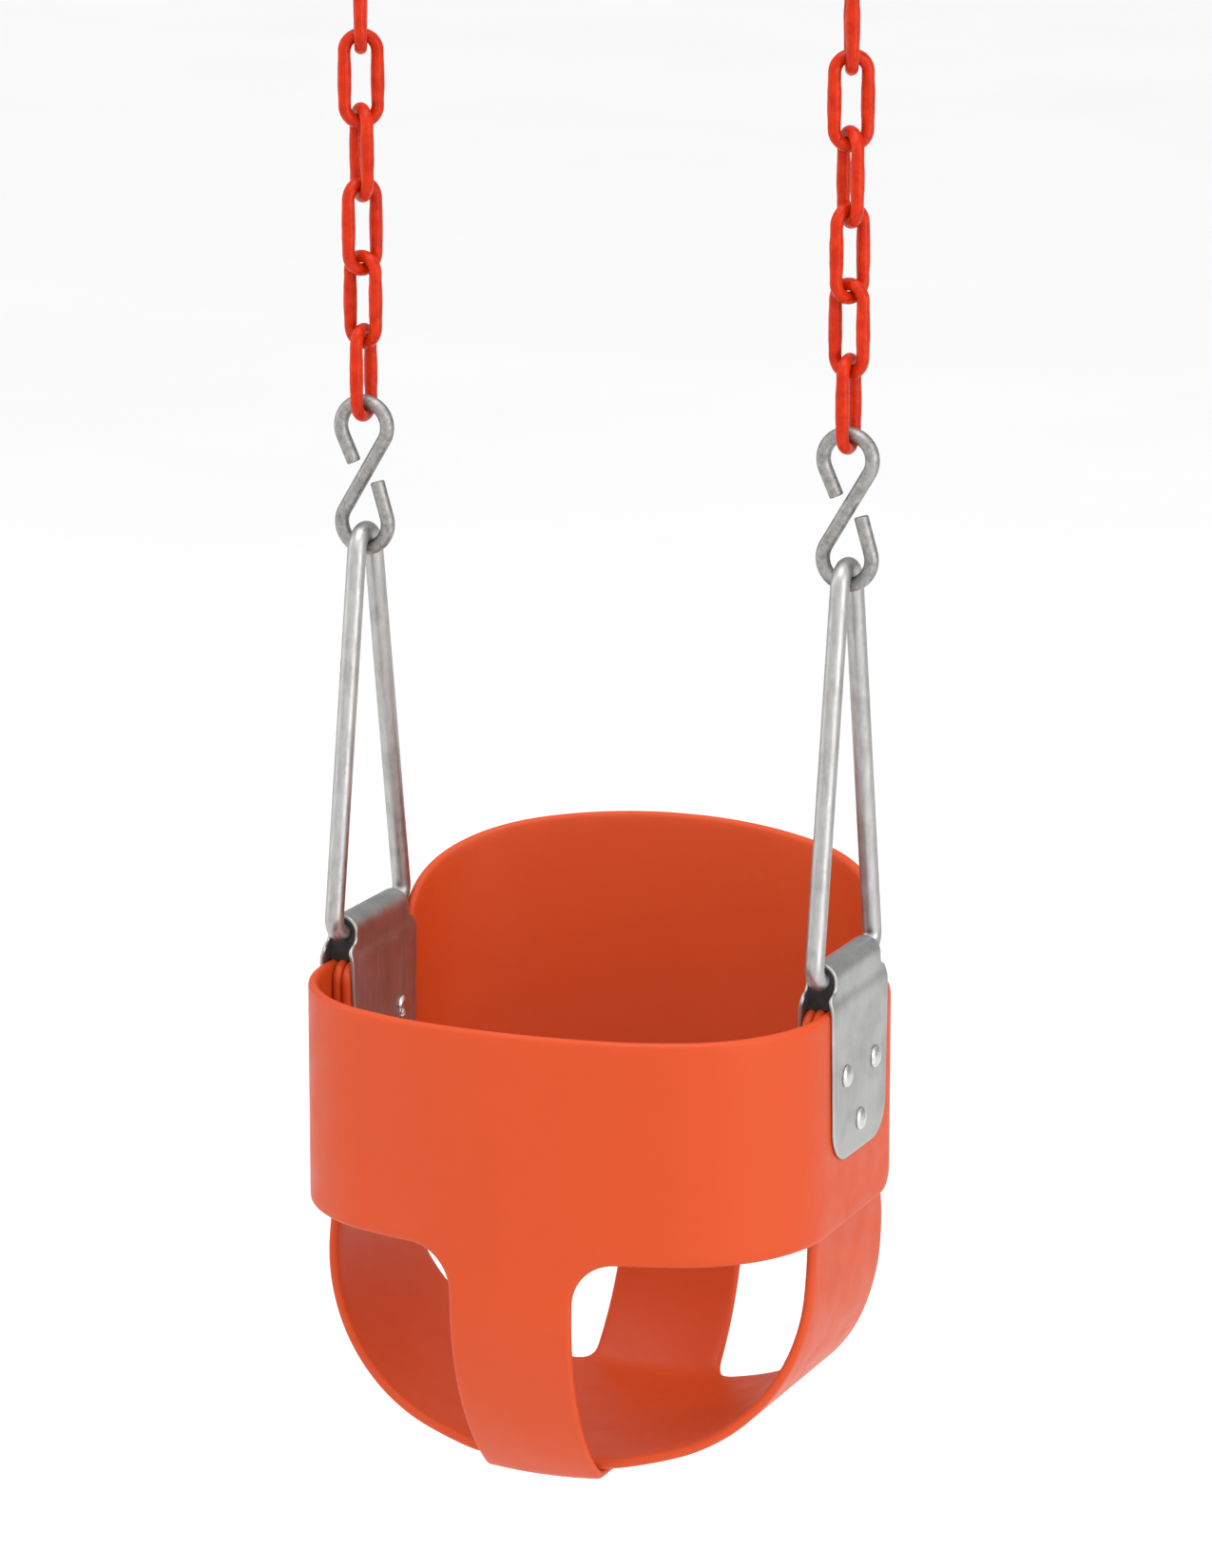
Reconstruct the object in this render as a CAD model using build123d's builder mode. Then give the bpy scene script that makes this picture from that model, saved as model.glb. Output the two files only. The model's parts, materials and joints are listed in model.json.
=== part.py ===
"""High-back full-bucket toddler swing seat, hung by two triangle shackles, S-hooks and coated chains.

Millimetres. X runs left to right, the front faces -Y and +Z is up. The origin is midway between
the eyes of the two top hooks, on the line that the swing hangs from.
"""
import math
import os

from build123d import *

# ---- driving dimensions ----------------------------------------------------------------------
hanger_spacing = 255.0          # between the two chains, and between the two triangle bars
sides = {"left": -1, "right": 1}

running_gap = 0.3               # between rods that hang in one another
hook_rod = 7.1
top_hook_rod = 6.4
top_gap = 0.65                  # more room where the whole swing turns
hook_bend_radius = 12.5         # centre line of each loop
hook_loop_drop = 48.5           # between the centres of a hook's two loops
hook_upper_tail = (15.0, 19.0)  # lean of the tail in degrees, and its straight length
hook_lower_tail = (10.0, 21.0)

link_rod = 6.4                  # over the plastic coat
link_core_rod = 4.8             # bare steel
link_bend_radius = 8.2
link_length = 43.0              # between the two crown centre lines
link_turns = (114.0, 34.0, 134.0, 59.0, -16.0, -91.0)   # turn of each link about the chain, top first

shackle_rod = 9.5
shackle_height = 198.0          # bar centre line to apex centre line
shackle_width = 84.0            # between the legs' centre lines at the bar
shackle_bend_radius = 8.0       # at the two lower corners
shackle_apex_radius = 10.0

sheet = 5.0                     # thickness of the moulded sheets
belt_top = 15.0                 # below the bar, at the brackets
belt_front_dip = 3.0            # how much lower the belt's top edge is at the front
belt_bottom = 126.0             # below the bar, at the brackets
belt_bottom_dip = 4.0
belt_depth = 121.0              # from the bracket centre to the front of the belt
belt_rear_end = 50.0            # how far the belt runs behind the bracket centre
belt_end_radius = 12.0
side_straight = 40.0            # half of the flat stretch at each bracket
belt_corner_radius = 72.0
strap_width = 65.0
strap_fillet = 22.0
strap_lap = 58.0                # how far each strap runs in under the seat
strap_upper_bend = 132.5
strap_upper_turn = 46.0         # degrees
seat_bottom = 250.0             # below the bar, to the underside of the sling
sling_straight = 154.0          # below the bar, to the start of the sling's curve
sling_corner_radius = 90.0
sling_bottom_width = 120.0
back_depth = 118.0
back_corner_radius = 70.0
back_rise = 40.0                # above the bar, at the rear
back_step = ((7.0, 12.0), (14.0, -4.0))   # behind the wings, and below the bar: where the back climbs

plate = 2.0
plate_width = 78.0
plate_drop = 92.0               # below the bar
plate_tongue_radius = 30.0
neck_width = 63.0
neck_drop = 7.5
joggle = 7.0
liner_wall = 1.2
bar_gap = 0.3
rivet_rod = 5.0
rivet_gap = 0.1
rivet_head = 11.5
rivet_dome = 2.6
rivet_rows = ((-20.0, 50.0), (20.0, 50.0), (0.0, 76.5))   # along the bar, and below the bar

# ---- heights down the chain --------------------------------------------------------------------
hook_half = hook_loop_drop / 2 + hook_bend_radius
link_step = link_length - link_rod - running_gap
top_hook_z = -hook_loop_drop / 2
first_link_z = top_hook_z - hook_half + (top_hook_rod + link_rod) / 2 + top_gap
last_crown_z = first_link_z - link_step * (len(link_turns) - 1) - link_length
lower_hook_z = last_crown_z + (hook_rod + link_rod) / 2 + running_gap - hook_half
apex_z = lower_hook_z - hook_half + (hook_rod + shackle_rod) / 2 + running_gap
bar_z = apex_z - shackle_height

# ---- layers of the stack that each bracket grips, out from the bar's centre ---------------------
half_stack = 1.5 * sheet
bar_x = hanger_spacing / 2
belt_side = bar_x + half_stack
sling_side = belt_side - sheet
back_side = sling_side - sheet
neck_inner = shackle_rod / 2 + bar_gap + liner_wall
strap_under = seat_bottom + running_gap + sheet / 2


def closing_radius(half_width, straight, corner, depth):
    """Radius of the arc across the front that meets both corner arcs smoothly."""
    reach = depth - straight
    across = half_width - corner
    return (reach ** 2 + across ** 2 - corner ** 2) / (2 * (reach - corner))


def d_profile(half_width, straight, corner, depth, end):
    """Closed D outline that opens towards +Y at y = end, with its nose at y = -depth."""
    nose = closing_radius(half_width, straight, corner, depth)
    across = half_width - corner
    meet = math.atan2(across, nose - depth + straight)
    middle = (math.pi / 2 + meet) / 2

    def on_corner(angle, side):
        return (side * (across + corner * math.sin(angle)), -straight - corner * math.cos(angle))

    Line((half_width, end), (half_width, -straight))
    ThreePointArc((half_width, -straight), on_corner(middle, 1), on_corner(meet, 1))
    ThreePointArc(on_corner(meet, 1), (0, -depth), on_corner(meet, -1))
    ThreePointArc(on_corner(meet, -1), on_corner(middle, -1), (-half_width, -straight))
    Line((-half_width, -straight), (-half_width, end))
    Line((-half_width, end), (half_width, end))


def band(half_width, straight, corner, depth, end):
    """Sketch of one bent sheet: the D outline less the same outline one sheet further in."""
    with BuildSketch() as outline:
        with BuildLine():
            d_profile(half_width, straight, corner, depth, end)
        make_face()
        with BuildLine():
            d_profile(half_width - sheet, straight, corner - sheet, depth - sheet, end)
        make_face(mode=Mode.SUBTRACT)
    return outline.sketch


def rivet_holes(side, reach):
    """Cut the three rivet holes of one side through whatever stands there."""
    for along, below in rivet_rows:
        spot = Plane(origin=(side * (bar_x - reach), along, bar_z - below), z_dir=(side, 0, 0))
        with BuildSketch(spot) as hole:
            Circle(rivet_rod / 2 + rivet_gap)
        extrude(hole.sketch, amount=2 * reach, mode=Mode.SUBTRACT)


def s_hook(x, z, rod):
    """One S-hook standing in the XZ plane, its middle at height z."""
    front = Plane(origin=(x, 0, z), x_dir=(1, 0, 0), z_dir=(0, -1, 0))
    lean = math.degrees(math.asin(hook_bend_radius / (hook_loop_drop / 2)))
    upper = (0, hook_loop_drop / 2)
    lower = (0, -hook_loop_drop / 2)
    with BuildPart() as hook:
        with BuildLine(front) as path:
            top_sweep = 180 + lean + hook_upper_tail[0]
            top_arc = CenterArc(upper, hook_bend_radius, -lean, top_sweep)
            PolarLine(top_arc @ 1, hook_upper_tail[1], -90 + hook_upper_tail[0])
            bottom_sweep = 180 + lean + hook_lower_tail[0]
            bottom_arc = CenterArc(lower, hook_bend_radius, 180 - lean, bottom_sweep)
            PolarLine(bottom_arc @ 1, hook_lower_tail[1], 90 + hook_lower_tail[0])
            Line(top_arc @ 0, bottom_arc @ 0)
        wire = path.wire()
        with BuildSketch(Plane(origin=wire @ 0, z_dir=wire % 0)):
            Circle(rod / 2)
        sweep(path=wire)
    return hook.part


def ring_plane(x, z, turn):
    """Upright plane of a link: its X is turned about the chain and its Y is up."""
    angle = math.radians(turn)
    across = (math.cos(angle), math.sin(angle), 0)
    return Plane(origin=(x, 0, z), x_dir=across, z_dir=(math.sin(angle), -math.cos(angle), 0))


def link_path(plane):
    """Centre line of a link whose top crown is at the plane's origin."""
    side = link_bend_radius
    foot = side - link_length
    with BuildLine(plane) as path:
        Line((side, foot), (side, -side))
        CenterArc((0, -side), side, 0, 180)
        Line((-side, -side), (-side, foot))
        CenterArc((0, foot), side, 180, 180)
    return path.wire()


def chain_coat(x, z, turn):
    """The plastic coat of one link, hollow where its steel core runs."""
    with BuildPart() as coat:
        path = link_path(ring_plane(x, z, turn))
        with BuildSketch(Plane(origin=path @ 0, z_dir=path % 0)):
            Circle(link_rod / 2)
            Circle(link_core_rod / 2, mode=Mode.SUBTRACT)
        sweep(path=path)
    return coat.part


def chain_core(x, z, turn):
    """The steel core of one link."""
    with BuildPart() as core:
        path = link_path(ring_plane(x, z, turn))
        with BuildSketch(Plane(origin=path @ 0, z_dir=path % 0)):
            Circle(link_core_rod / 2)
        sweep(path=path)
    return core.part


def sharp_apex_height():
    """Height above the bar where the legs' centre lines would meet if the apex weren't rounded."""
    height = shackle_height
    for _ in range(50):
        half_angle = math.atan2(shackle_width / 2, height)
        height = shackle_height + shackle_apex_radius * (1 / math.sin(half_angle) - 1)
    return height


def triangle_shackle(x):
    """Closed triangle of rod in the YZ plane, its lower side the bar."""
    half = shackle_width / 2
    with BuildPart() as shackle:
        with BuildLine(Plane.YZ.offset(x)) as path:
            corners = [(-half, bar_z), (half, bar_z), (0, bar_z + sharp_apex_height())]
            radii = [shackle_bend_radius, shackle_bend_radius, shackle_apex_radius]
            FilletPolyline(*corners, radius=radii, close=True)
        wire = path.wire()
        with BuildSketch(Plane(origin=wire @ 0, z_dir=wire % 0)):
            Circle(shackle_rod / 2)
        sweep(path=wire)
    return shackle.part


def leg_openings(rear):
    """Cut what lies below a belt's lower edge and beside its strap, in the front or rear half."""
    edge = bar_z - belt_bottom - belt_bottom_dip
    side_edge = bar_z - belt_bottom
    low = edge - strap_fillet
    wide = belt_side + sheet
    for side in sides.values():
        with BuildSketch(Plane.XZ) as opening:
            with BuildLine():
                Line((side * strap_width / 2, low - sheet), (side * strap_width / 2, low))
                corner = (side * (strap_width / 2 + strap_fillet), edge)
                middle = (side * (strap_width / 2 + strap_fillet * (1 - math.sqrt(0.5))),
                          low + strap_fillet * math.sqrt(0.5))
                ThreePointArc((side * strap_width / 2, low), middle, corner)
                Line(corner, (side * wide, side_edge))
                Line((side * wide, side_edge), (side * wide, low - sheet))
                Line((side * wide, low - sheet), (side * strap_width / 2, low - sheet))
            make_face()
        # the sketch's normal is -Y
        reach = -2 * back_depth if rear else 2 * belt_depth
        extrude(opening.sketch, amount=reach, mode=Mode.SUBTRACT)


def strap(depth, rear, corner):
    """The strap below a belt: down, round under the seat and in along its underside."""
    facing = 1 if rear else -1
    start = bar_z - belt_bottom - belt_bottom_dip - strap_fillet
    y0 = facing * (depth - sheet / 2)
    turn = math.radians(strap_upper_turn)
    y1 = y0 - facing * strap_upper_bend * (1 - math.cos(turn))
    z1 = start - strap_upper_bend * math.sin(turn)
    z2 = bar_z - strap_under
    lower_bend = (z1 - z2) / (1 - math.sin(turn))
    y2 = y1 - facing * lower_bend * math.cos(turn)
    with BuildLine(Plane.YZ) as path:
        first = TangentArc((y0, start), (y1, z1), tangent=(0, -1))
        TangentArc((y1, z1), (y2, z2), tangent=first % 1)
        Line((y2, z2), (y2 - facing * strap_lap, z2))
    with BuildSketch(Plane.XY.offset(start)) as section:
        add(turned(band(back_side if rear else belt_side, side_straight, corner, depth, 0), rear))
        with Locations((0, facing * depth)):
            Rectangle(strap_width, depth, mode=Mode.INTERSECT)
    sweep(section.sketch, path=path.wire())


def turned(sketch, rear):
    """The same sketch, or the sketch turned half round to face the rear."""
    return Rot(0, 0, 180) * sketch if rear else sketch


def front_belt_part():
    """Outer belt round the front, with the strap that runs down from its middle."""
    low = bar_z - belt_bottom - belt_bottom_dip - strap_fillet
    top = bar_z - belt_top
    with BuildPart() as belt:
        with BuildSketch(Plane.XY.offset(low)):
            add(band(belt_side, side_straight, belt_corner_radius, belt_depth, belt_rear_end))
        extrude(amount=top - low)
        with BuildSketch(Plane.YZ) as keep:
            with BuildLine():
                dip = top - belt_front_dip
                rear_low = bar_z - belt_bottom
                rear = belt_rear_end
                Polyline((-belt_depth - sheet, low - sheet), (-belt_depth - sheet, dip),
                         (-side_straight, top), (rear - belt_end_radius, top))
                ThreePointArc((rear - belt_end_radius, top),
                              (rear - belt_end_radius * (1 - math.sqrt(0.5)),
                               top - belt_end_radius * (1 - math.sqrt(0.5))),
                              (rear, top - belt_end_radius))
                Line((rear, top - belt_end_radius), (rear, rear_low + belt_end_radius))
                ThreePointArc((rear, rear_low + belt_end_radius),
                              (rear - belt_end_radius * (1 - math.sqrt(0.5)),
                               rear_low + belt_end_radius * (1 - math.sqrt(0.5))),
                              (rear - belt_end_radius, rear_low))
                Polyline((rear - belt_end_radius, rear_low), (-1, rear_low), (-1, low - sheet),
                         (-belt_depth - sheet, low - sheet))
            make_face()
        extrude(amount=2 * belt_side, both=True, mode=Mode.INTERSECT)
        leg_openings(rear=False)
        strap(belt_depth, False, belt_corner_radius)
        for side in sides.values():
            rivet_holes(side, 2 * half_stack)
    return belt.part


def back_panel_part():
    """Inner sheet: a wing at each bracket, the high back, and the strap below its middle."""
    low = bar_z - belt_bottom - belt_bottom_dip - strap_fillet
    top = bar_z + back_rise
    wing_top = bar_z - belt_top
    with BuildPart() as panel:
        with BuildSketch(Plane.XY.offset(low)):
            add(turned(band(back_side, side_straight, back_corner_radius, back_depth, side_straight),
                       True))
        extrude(amount=top - low)
        with BuildSketch(Plane.YZ) as keep:
            with BuildLine():
                beyond = back_depth + sheet
                steps = [(side_straight + behind, bar_z - below) for behind, below in back_step]
                Polyline((side_straight, wing_top), *steps, (beyond, top))
                Line((beyond, top), (beyond, low - sheet))
                Line((beyond, low - sheet), (1, low - sheet))
                Line((1, low - sheet), (1, bar_z - belt_bottom))
                Line((1, bar_z - belt_bottom), (-side_straight, bar_z - belt_bottom))
                Line((-side_straight, bar_z - belt_bottom), (-side_straight, wing_top))
                Line((-side_straight, wing_top), (side_straight, wing_top))
            make_face()
        extrude(amount=2 * belt_side, both=True, mode=Mode.INTERSECT)
        leg_openings(rear=True)
        strap(back_depth, True, back_corner_radius)
        for side in sides.values():
            rivet_holes(side, 2 * half_stack)
    return panel.part


def sling_part():
    """Middle sheet: one arm down from each bracket and the seat bottom between them."""
    half_arm = side_straight
    half_seat = sling_bottom_width / 2
    spread_top = bar_z - sling_straight
    spread_low = bar_z - seat_bottom + 2 * sheet
    section = Plane(origin=(0, 0, bar_z), x_dir=(1, 0, 0), z_dir=(0, -1, 0))
    with BuildPart() as sling:
        with BuildSketch(section):
            with BuildLine():
                d_profile(sling_side, sling_straight, sling_corner_radius, seat_bottom, -belt_top)
            make_face()
            with BuildLine():
                d_profile(sling_side - sheet, sling_straight, sling_corner_radius - sheet,
                          seat_bottom - sheet, -belt_top)
            make_face(mode=Mode.SUBTRACT)
        extrude(amount=half_seat, both=True)
        with BuildSketch(Plane.YZ):
            with BuildLine():
                for facing in (-1, 1):
                    Line((facing * half_arm, bar_z), (facing * half_arm, spread_top))
                    Bezier((facing * half_arm, spread_top), (facing * half_arm, spread_low + 4 * sheet),
                           (facing * half_seat, spread_top - 6 * sheet),
                           (facing * half_seat, spread_low))
                    Line((facing * half_seat, spread_low), (facing * half_seat, bar_z - 2 * seat_bottom))
                Line((-half_arm, bar_z), (half_arm, bar_z))
                Line((-half_seat, bar_z - 2 * seat_bottom), (half_seat, bar_z - 2 * seat_bottom))
            make_face()
        extrude(amount=2 * belt_side, both=True, mode=Mode.INTERSECT)
        for side in sides.values():
            rivet_holes(side, 2 * half_stack)
    return sling.part


def bracket_outline(inset):
    """Upside-down U round the bar and down both faces of the stack, one side of the plate."""
    neck = neck_inner + inset
    leg = half_stack + inset
    foot = -plate_drop
    for side in (-1, 1):
        Polyline((side * leg, foot), (side * leg, -neck_drop - joggle), (side * neck, -neck_drop),
                 (side * neck, 0))
    ThreePointArc((-neck, 0), (0, neck), (neck, 0))
    Line((-leg, foot), (leg, foot))


def bracket_part(side):
    """One folded plate: a narrow neck over the bar and a tongue down each face of the stack."""
    section = Plane(origin=(side * bar_x, 0, bar_z), x_dir=(1, 0, 0), z_dir=(0, -1, 0))
    half = plate_width / 2
    with BuildPart() as bracket:
        with BuildSketch(section):
            with BuildLine():
                bracket_outline(plate)
            make_face()
            with BuildLine():
                bracket_outline(0)
            make_face(mode=Mode.SUBTRACT)
        extrude(amount=half, both=True)
        with BuildSketch(Plane(origin=(0, 0, bar_z), x_dir=(0, 1, 0), z_dir=(1, 0, 0))) as tongue:
            with Locations((0, -(neck_drop + plate_drop) / 2)):
                Rectangle(plate_width, plate_drop - neck_drop)
            corners = tongue.vertices().sort_by(Axis.Y)
            fillet(corners[:2], plate_tongue_radius)
            Rectangle(neck_width, 4 * neck_drop)
        extrude(amount=2 * hanger_spacing, both=True, mode=Mode.INTERSECT)
        rivet_holes(side, 2 * half_stack)
    return bracket.part


def liner_part(side):
    """Black block inside the bracket's neck, bored for the bar."""
    section = Plane(origin=(side * bar_x, 0, bar_z), x_dir=(1, 0, 0), z_dir=(0, -1, 0))
    with BuildPart() as liner:
        with BuildSketch(section):
            with BuildLine():
                ThreePointArc((-neck_inner, 0), (0, neck_inner), (neck_inner, 0))
                Polyline((neck_inner, 0), (neck_inner, -neck_drop), (half_stack, -neck_drop - joggle),
                         (half_stack, -belt_top), (-half_stack, -belt_top),
                         (-half_stack, -neck_drop - joggle), (-neck_inner, -neck_drop),
                         (-neck_inner, 0))
            make_face()
            Circle(shackle_rod / 2 + bar_gap, mode=Mode.SUBTRACT)
        extrude(amount=neck_width / 2, both=True)
    return liner.part


def rivets_part(side):
    """The three rivets of one bracket, each a shank with a domed head on both faces."""
    face = half_stack + plate
    dome_radius = (rivet_head ** 2 / 4 + rivet_dome ** 2) / (2 * rivet_dome)
    with BuildPart() as rivets:
        for along, below in rivet_rows:
            with BuildSketch(Plane(origin=(side * bar_x, along, bar_z - below),
                                   x_dir=(1, 0, 0), z_dir=(0, -1, 0))):
                with BuildLine():
                    Polyline((0, 0), (-face - rivet_dome, 0))
                    RadiusArc((-face - rivet_dome, 0), (-face, rivet_head / 2), dome_radius)
                    Polyline((-face, rivet_head / 2), (-face, rivet_rod / 2), (face, rivet_rod / 2),
                             (face, rivet_head / 2))
                    RadiusArc((face, rivet_head / 2), (face + rivet_dome, 0), dome_radius)
                    Line((face + rivet_dome, 0), (0, 0))
                make_face()
            revolve(axis=Axis((0, along, bar_z - below), (1, 0, 0)))
    return rivets.part


def save(part, node):
    """Label one sub-part and write it under its node's name."""
    part.label = node
    export_step(part, f"parts/{node}.step")


os.makedirs("parts", exist_ok=True)
for name, side in sides.items():
    x = side * bar_x
    save(s_hook(x, top_hook_z, top_hook_rod), f"{name}_top_hook")
    for number, turn in enumerate(link_turns, start=1):
        z = first_link_z - (number - 1) * link_step
        save(chain_coat(x, z, turn), f"{name}_link_{number}_coat")
        save(chain_core(x, z, turn), f"{name}_link_{number}_core")
    save(s_hook(x, lower_hook_z, hook_rod), f"{name}_s_hook")
    save(triangle_shackle(x), f"{name}_shackle")
    save(bracket_part(side), f"{name}_bracket")
    save(liner_part(side), f"{name}_liner")
    save(rivets_part(side), f"{name}_rivets")
save(front_belt_part(), "front_belt")
save(sling_part(), "seat_sling")
save(back_panel_part(), "back_panel")
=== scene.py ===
"""Looks of the toddler bucket swing: sheets, coated chains, rods, plates, rivets, studio."""
import json
import math

import bmesh
import bpy
import numpy as np
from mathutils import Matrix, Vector, noise
from mathutils.geometry import delaunay_2d_cdt

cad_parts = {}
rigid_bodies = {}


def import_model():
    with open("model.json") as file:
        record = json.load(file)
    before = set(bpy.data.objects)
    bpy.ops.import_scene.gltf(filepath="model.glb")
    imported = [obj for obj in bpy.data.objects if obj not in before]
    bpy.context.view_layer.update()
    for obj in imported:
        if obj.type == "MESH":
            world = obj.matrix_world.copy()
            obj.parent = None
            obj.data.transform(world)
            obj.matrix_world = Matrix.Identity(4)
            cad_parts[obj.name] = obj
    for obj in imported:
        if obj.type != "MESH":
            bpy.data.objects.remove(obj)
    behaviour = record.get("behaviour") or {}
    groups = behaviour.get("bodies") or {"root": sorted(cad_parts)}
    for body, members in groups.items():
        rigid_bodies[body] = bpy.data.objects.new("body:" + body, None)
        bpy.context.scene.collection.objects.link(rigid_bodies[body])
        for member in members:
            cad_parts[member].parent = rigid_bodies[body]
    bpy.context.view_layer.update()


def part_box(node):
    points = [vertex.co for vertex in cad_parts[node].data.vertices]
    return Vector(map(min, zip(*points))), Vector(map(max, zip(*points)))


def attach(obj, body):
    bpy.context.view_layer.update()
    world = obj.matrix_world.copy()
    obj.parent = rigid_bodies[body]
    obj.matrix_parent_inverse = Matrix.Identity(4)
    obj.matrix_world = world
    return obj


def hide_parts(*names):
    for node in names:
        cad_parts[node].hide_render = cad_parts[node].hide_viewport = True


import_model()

# ---- sizes, in metres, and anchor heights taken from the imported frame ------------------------
SIDES = {"left": -1, "right": 1}
SHEET = 0.005
SHACKLE_ROD = 0.0095
LINK_ROD = 0.0064
PLATE = 0.002
RIVET_HEAD = 0.0115
RIVET_DOME = 0.0027

shackle_low, shackle_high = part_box("right_shackle")
BAR_X = (shackle_low[0] + shackle_high[0]) / 2
BAR_Z = shackle_low[2] + SHACKLE_ROD / 2
APEX_Z = shackle_high[2] - SHACKLE_ROD / 2


# ---- small geometry helpers --------------------------------------------------------------------
class Bend:
    """Planar path of pieces: (radius, angle) is an arc, (None, length) runs straight."""

    def __init__(self, pieces, start=(0.0, 0.0), heading=0.0):
        self.pieces = []
        x, y, angle, along = start[0], start[1], heading, 0.0
        for radius, amount in pieces:
            length = amount if radius is None else abs(radius * amount)
            self.pieces.append((along, along + length, x, y, angle, radius))
            x, y, angle = self._step(x, y, angle, radius, length)
            along += length
        self.length = along

    @staticmethod
    def _step(x, y, angle, radius, run):
        if radius is None:
            return x + run * math.cos(angle), y + run * math.sin(angle), angle
        turned = angle + run / radius
        x += radius * (math.sin(turned) - math.sin(angle))
        y -= radius * (math.cos(turned) - math.cos(angle))
        return x, y, turned

    def at(self, along):
        """Point and heading at a distance along; beyond the ends the path runs on straight."""
        if along < 0:
            _, _, x, y, angle, _ = self.pieces[0]
            return x + along * math.cos(angle), y + along * math.sin(angle), angle
        for first, last, x, y, angle, radius in self.pieces:
            if along <= last:
                return self._step(x, y, angle, radius, along - first)
        first, last, x, y, angle, radius = self.pieces[-1]
        x, y, angle = self._step(x, y, angle, radius, last - first)
        return self._step(x, y, angle, None, along - last)


def mix(a, b, t):
    return a + (b - a) * t


def smooth(value, low, high):
    """Zero below low, one above high, easing between."""
    t = min(max((value - low) / (high - low), 0.0), 1.0)
    return t * t * (3 - 2 * t)


def new_object(name, vertices, faces):
    mesh = bpy.data.meshes.new(name)
    mesh.from_pydata([tuple(v) for v in vertices], [], faces)
    mesh.validate()
    mesh.update()
    mesh.polygons.foreach_set("use_smooth", [True] * len(mesh.polygons))
    obj = bpy.data.objects.new(name, mesh)
    bpy.context.scene.collection.objects.link(obj)
    return obj


def finish_piece(obj, material, body, slot, *nodes):
    obj.data.materials.append(material)
    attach(obj, body)
    if nodes:
        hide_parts(*nodes)
    return obj


# ---- 2-D outlines ------------------------------------------------------------------------------
def rounded(corners, step=0.003):
    """Closed outline through (x, y, radius) corners, each one rounded and evenly stepped."""
    points = []
    count = len(corners)
    for i in range(count):
        before = Vector(corners[i - 1][:2])
        here = Vector(corners[i][:2])
        after = Vector(corners[(i + 1) % count][:2])
        radius = corners[i][2]
        into = (before - here).normalized()
        out = (after - here).normalized()
        turn = math.pi - into.angle(out)
        if radius <= 0 or turn < 1e-3:
            points.append(here)
            continue
        setback = radius * math.tan(turn / 2)
        setback = min(setback, 0.49 * (before - here).length, 0.49 * (after - here).length)
        start, end = here + into * setback, here + out * setback
        count_arc = max(3, int(radius * turn / step) + 1)
        for k in range(count_arc + 1):
            t = k / count_arc
            # a rational quadratic is a true circular arc between the two tangent points
            weight = math.cos(turn / 2)
            a, b, c = (1 - t) ** 2, 2 * t * (1 - t) * weight, t ** 2
            points.append((start * a + here * b + end * c) / (a + b + c))
    outline = []
    for i, here in enumerate(points):
        after = points[(i + 1) % len(points)]
        gap = (after - here).length
        if gap < 1e-5:
            continue
        pieces = max(1, round(gap / step))
        outline += [here.lerp(after, k / pieces) for k in range(pieces)]
    area = sum(a.x * b.y - b.x * a.y for a, b in zip(outline, outline[1:] + outline[:1]))
    return outline if area > 0 else outline[::-1]


def inset(outline, distance):
    """Move every point of a counter-clockwise outline inwards."""
    moved = []
    for i, here in enumerate(outline):
        along = outline[(i + 1) % len(outline)] - outline[i - 1]
        inward = Vector((-along.y, along.x)).normalized()
        moved.append(here + inward * distance)
    return moved


def inside_mask(points, outline):
    """Even-odd test of many points against one outline."""
    xs, ys = points[:, 0], points[:, 1]
    mask = np.zeros(len(points), bool)
    for i in range(len(outline)):
        (x1, y1), (x2, y2) = outline[i - 1], outline[i]
        if y1 == y2:
            continue
        crosses = (y1 > ys) != (y2 > ys)
        mask ^= crosses & (xs < (x2 - x1) * (ys - y1) / (y2 - y1) + x1)
    return mask


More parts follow.
